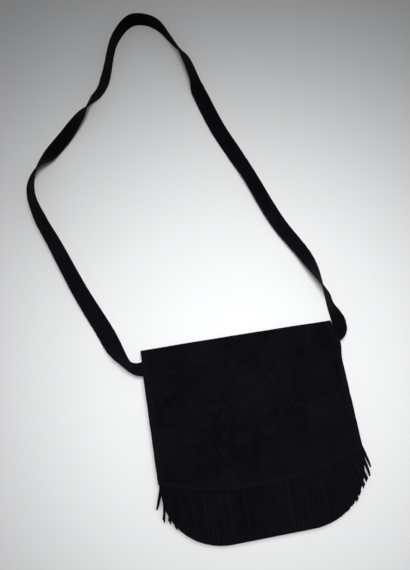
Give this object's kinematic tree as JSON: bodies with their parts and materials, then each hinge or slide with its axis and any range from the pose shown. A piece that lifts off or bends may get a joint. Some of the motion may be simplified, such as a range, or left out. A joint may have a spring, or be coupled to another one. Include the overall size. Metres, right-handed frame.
{
  "type": "fringed suede shoulder bag",
  "caption": "Black suede shoulder bag lying on its back: slim pouch with round lower corners, a fold-over flap edged with fringe, and a flat twisted strap laid out above it.",
  "frame": {"origin": "middle of the back panel's underside, on the surface that the bag lies on", "axes": "+Z out of the flap's front, +Y towards the top fold and the strap, +X to the bag's right as seen from the front"},
  "size_m": [0.3757, 0.7303, 0.0267],
  "materials": {
    "suede": "matte napped suede, near black with a faint violet cast",
    "lining": "matte black twill",
    "snap_metal": "dull nickel"
  },
  "bodies": {
    "bag": {"back_panel": "suede", "gusset": "suede", "front_panel": "suede", "strap": "suede", "snap_socket": "snap_metal", "snap_washer": "snap_metal"},
    "flap": {"flap": "suede", "flap_facing": "lining", "fringe": "suede", "snap_stud": "snap_metal"}
  },
  "joints": [
    {"name": "flap_fold", "type": "hinge", "parent": "bag", "child": "flap", "pos_m": [0, 0.121, 0.0055], "axis": [-1, 0, 0], "range_deg": [0, 130]}
  ]
}
